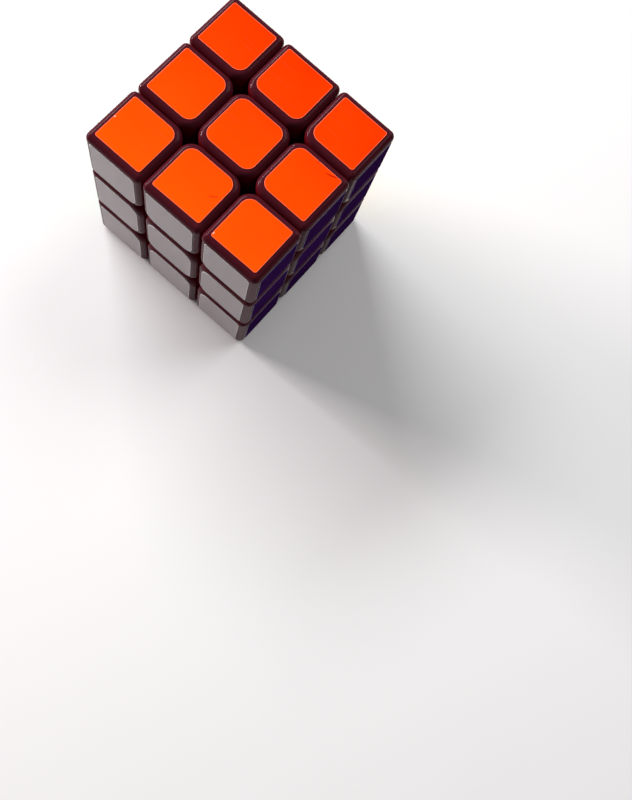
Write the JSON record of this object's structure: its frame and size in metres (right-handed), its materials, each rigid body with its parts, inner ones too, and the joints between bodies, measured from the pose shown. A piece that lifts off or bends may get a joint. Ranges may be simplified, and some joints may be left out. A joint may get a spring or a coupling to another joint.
{
  "type": "twisty puzzle cube",
  "caption": "Layered puzzle cube whose six faces turn about a hidden core; black plastic pieces carry coloured square labels.",
  "frame": {"origin": "centre of the core, which is the middle of the cube", "axes": "+Z to the top face (orange), -Y to the front face (white), +X to the right face (blue)"},
  "size_m": [0.056, 0.056, 0.056],
  "materials": {
    "black_plastic": "satin moulded ABS, near black",
    "core_plastic": "moulded ABS, dark grey",
    "screw_steel": "zinc-plated steel",
    "washer_steel": "plain steel",
    "spring_steel": "drawn spring wire",
    "sticker_orange": "vinyl label, fluorescent orange",
    "sticker_white": "vinyl label, white",
    "sticker_blue": "vinyl label, blue",
    "sticker_green": "vinyl label, green",
    "sticker_red": "vinyl label, red",
    "sticker_yellow": "vinyl label, yellow",
    "sticker_vinyl": "vinyl labels in the colours of the faces that they lie on"
  },
  "bodies": {
    "frame": {"core": "core_plastic", "arm_screws": "screw_steel", "washers": "washer_steel", "tension_springs": "spring_steel"},
    "corner_bottom_front_left": {"corner_bottom_front_left": "black_plastic", "corner_bottom_front_left_stickers": "sticker_vinyl"},
    "edge_front_left": {"edge_front_left": "black_plastic", "edge_front_left_stickers": "sticker_vinyl"},
    "corner_top_front_left": {"corner_top_front_left": "black_plastic", "corner_top_front_left_stickers": "sticker_vinyl"},
    "edge_bottom_left": {"edge_bottom_left": "black_plastic", "edge_bottom_left_stickers": "sticker_vinyl"},
    "centre_left": {"centre_left": "black_plastic", "centre_left_sticker": "sticker_green"},
    "edge_top_left": {"edge_top_left": "black_plastic", "edge_top_left_stickers": "sticker_vinyl"},
    "corner_bottom_back_left": {"corner_bottom_back_left": "black_plastic", "corner_bottom_back_left_stickers": "sticker_vinyl"},
    "edge_back_left": {"edge_back_left": "black_plastic", "edge_back_left_stickers": "sticker_vinyl"},
    "corner_top_back_left": {"corner_top_back_left": "black_plastic", "corner_top_back_left_stickers": "sticker_vinyl"},
    "edge_bottom_front": {"edge_bottom_front": "black_plastic", "edge_bottom_front_stickers": "sticker_vinyl"},
    "centre_front": {"centre_front": "black_plastic", "centre_front_sticker": "sticker_white"},
    "edge_top_front": {"edge_top_front": "black_plastic", "edge_top_front_stickers": "sticker_vinyl"},
    "centre_bottom": {"centre_bottom": "black_plastic", "centre_bottom_sticker": "sticker_red"},
    "centre_top": {"centre_top": "black_plastic", "centre_top_sticker": "sticker_orange"},
    "edge_bottom_back": {"edge_bottom_back": "black_plastic", "edge_bottom_back_stickers": "sticker_vinyl"},
    "centre_back": {"centre_back": "black_plastic", "centre_back_sticker": "sticker_yellow"},
    "edge_top_back": {"edge_top_back": "black_plastic", "edge_top_back_stickers": "sticker_vinyl"},
    "corner_bottom_front_right": {"corner_bottom_front_right": "black_plastic", "corner_bottom_front_right_stickers": "sticker_vinyl"},
    "edge_front_right": {"edge_front_right": "black_plastic", "edge_front_right_stickers": "sticker_vinyl"},
    "corner_top_front_right": {"corner_top_front_right": "black_plastic", "corner_top_front_right_stickers": "sticker_vinyl"},
    "edge_bottom_right": {"edge_bottom_right": "black_plastic", "edge_bottom_right_stickers": "sticker_vinyl"},
    "centre_right": {"centre_right": "black_plastic", "centre_right_sticker": "sticker_blue"},
    "edge_top_right": {"edge_top_right": "black_plastic", "edge_top_right_stickers": "sticker_vinyl"},
    "corner_bottom_back_right": {"corner_bottom_back_right": "black_plastic", "corner_bottom_back_right_stickers": "sticker_vinyl"},
    "edge_back_right": {"edge_back_right": "black_plastic", "edge_back_right_stickers": "sticker_vinyl"},
    "corner_top_back_right": {"corner_top_back_right": "black_plastic", "corner_top_back_right_stickers": "sticker_vinyl"}
  },
  "joints": [
    {"name": "turn_top", "type": "hinge", "parent": "frame", "child": "centre_top", "pos_m": [0, 0, 0], "axis": [0, 0, 1], "continuous": true},
    {"name": "turn_bottom", "type": "hinge", "parent": "frame", "child": "centre_bottom", "pos_m": [0, 0, 0], "axis": [0, 0, 1], "continuous": true},
    {"name": "turn_right", "type": "hinge", "parent": "frame", "child": "centre_right", "pos_m": [0, 0, 0], "axis": [1, 0, 0], "continuous": true},
    {"name": "turn_left", "type": "hinge", "parent": "frame", "child": "centre_left", "pos_m": [0, 0, 0], "axis": [1, 0, 0], "continuous": true},
    {"name": "turn_front", "type": "hinge", "parent": "frame", "child": "centre_front", "pos_m": [0, 0, 0], "axis": [0, 1, 0], "continuous": true},
    {"name": "turn_back", "type": "hinge", "parent": "frame", "child": "centre_back", "pos_m": [0, 0, 0], "axis": [0, 1, 0], "continuous": true},
    {"name": "edge_top_front_with_top", "type": "hinge", "parent": "centre_front", "child": "edge_top_front", "pos_m": [0, 0, 0], "axis": [0, 0, 1], "continuous": true},
    {"name": "edge_top_back_with_top", "type": "hinge", "parent": "centre_back", "child": "edge_top_back", "pos_m": [0, 0, 0], "axis": [0, 0, 1], "continuous": true},
    {"name": "edge_top_right_with_right", "type": "hinge", "parent": "centre_top", "child": "edge_top_right", "pos_m": [0, 0, 0], "axis": [1, 0, 0], "continuous": true},
    {"name": "edge_top_left_with_left", "type": "hinge", "parent": "centre_top", "child": "edge_top_left", "pos_m": [0, 0, 0], "axis": [1, 0, 0], "continuous": true},
    {"name": "edge_bottom_front_with_bottom", "type": "hinge", "parent": "centre_front", "child": "edge_bottom_front", "pos_m": [0, 0, 0], "axis": [0, 0, 1], "continuous": true},
    {"name": "edge_bottom_back_with_bottom", "type": "hinge", "parent": "centre_back", "child": "edge_bottom_back", "pos_m": [0, 0, 0], "axis": [0, 0, 1], "continuous": true},
    {"name": "edge_bottom_right_with_right", "type": "hinge", "parent": "centre_bottom", "child": "edge_bottom_right", "pos_m": [0, 0, 0], "axis": [1, 0, 0], "continuous": true},
    {"name": "edge_bottom_left_with_left", "type": "hinge", "parent": "centre_bottom", "child": "edge_bottom_left", "pos_m": [0, 0, 0], "axis": [1, 0, 0], "continuous": true},
    {"name": "edge_front_right_with_front", "type": "hinge", "parent": "centre_right", "child": "edge_front_right", "pos_m": [0, 0, 0], "axis": [0, 1, 0], "continuous": true},
    {"name": "edge_front_left_with_front", "type": "hinge", "parent": "centre_left", "child": "edge_front_left", "pos_m": [0, 0, 0], "axis": [0, 1, 0], "continuous": true},
    {"name": "edge_back_right_with_back", "type": "hinge", "parent": "centre_right", "child": "edge_back_right", "pos_m": [0, 0, 0], "axis": [0, 1, 0], "continuous": true},
    {"name": "edge_back_left_with_back", "type": "hinge", "parent": "centre_left", "child": "edge_back_left", "pos_m": [0, 0, 0], "axis": [0, 1, 0], "continuous": true},
    {"name": "corner_top_front_right_with_front", "type": "hinge", "parent": "edge_top_right", "child": "corner_top_front_right", "pos_m": [0, 0, 0], "axis": [0, 1, 0], "continuous": true},
    {"name": "corner_top_back_right_with_back", "type": "hinge", "parent": "edge_top_right", "child": "corner_top_back_right", "pos_m": [0, 0, 0], "axis": [0, 1, 0], "continuous": true},
    {"name": "corner_top_front_left_with_front", "type": "hinge", "parent": "edge_top_left", "child": "corner_top_front_left", "pos_m": [0, 0, 0], "axis": [0, 1, 0], "continuous": true},
    {"name": "corner_top_back_left_with_back", "type": "hinge", "parent": "edge_top_left", "child": "corner_top_back_left", "pos_m": [0, 0, 0], "axis": [0, 1, 0], "continuous": true},
    {"name": "corner_bottom_front_right_with_front", "type": "hinge", "parent": "edge_bottom_right", "child": "corner_bottom_front_right", "pos_m": [0, 0, 0], "axis": [0, 1, 0], "continuous": true},
    {"name": "corner_bottom_back_right_with_back", "type": "hinge", "parent": "edge_bottom_right", "child": "corner_bottom_back_right", "pos_m": [0, 0, 0], "axis": [0, 1, 0], "continuous": true},
    {"name": "corner_bottom_front_left_with_front", "type": "hinge", "parent": "edge_bottom_left", "child": "corner_bottom_front_left", "pos_m": [0, 0, 0], "axis": [0, 1, 0], "continuous": true},
    {"name": "corner_bottom_back_left_with_back", "type": "hinge", "parent": "edge_bottom_left", "child": "corner_bottom_back_left", "pos_m": [0, 0, 0], "axis": [0, 1, 0], "continuous": true}
  ],
  "couplings": [
    {"joint": "edge_top_front_with_top", "follows": "turn_top", "ratio": 1},
    {"joint": "edge_top_back_with_top", "follows": "turn_top", "ratio": 1},
    {"joint": "edge_top_right_with_right", "follows": "turn_right", "ratio": 1},
    {"joint": "edge_top_left_with_left", "follows": "turn_left", "ratio": 1},
    {"joint": "edge_bottom_front_with_bottom", "follows": "turn_bottom", "ratio": 1},
    {"joint": "edge_bottom_back_with_bottom", "follows": "turn_bottom", "ratio": 1},
    {"joint": "edge_bottom_right_with_right", "follows": "turn_right", "ratio": 1},
    {"joint": "edge_bottom_left_with_left", "follows": "turn_left", "ratio": 1},
    {"joint": "edge_front_right_with_front", "follows": "turn_front", "ratio": 1},
    {"joint": "edge_front_left_with_front", "follows": "turn_front", "ratio": 1},
    {"joint": "edge_back_right_with_back", "follows": "turn_back", "ratio": 1},
    {"joint": "edge_back_left_with_back", "follows": "turn_back", "ratio": 1},
    {"joint": "corner_top_front_right_with_front", "follows": "turn_front", "ratio": 1},
    {"joint": "corner_top_back_right_with_back", "follows": "turn_back", "ratio": 1},
    {"joint": "corner_top_front_left_with_front", "follows": "turn_front", "ratio": 1},
    {"joint": "corner_top_back_left_with_back", "follows": "turn_back", "ratio": 1},
    {"joint": "corner_bottom_front_right_with_front", "follows": "turn_front", "ratio": 1},
    {"joint": "corner_bottom_back_right_with_back", "follows": "turn_back", "ratio": 1},
    {"joint": "corner_bottom_front_left_with_front", "follows": "turn_front", "ratio": 1},
    {"joint": "corner_bottom_back_left_with_back", "follows": "turn_back", "ratio": 1}
  ]
}
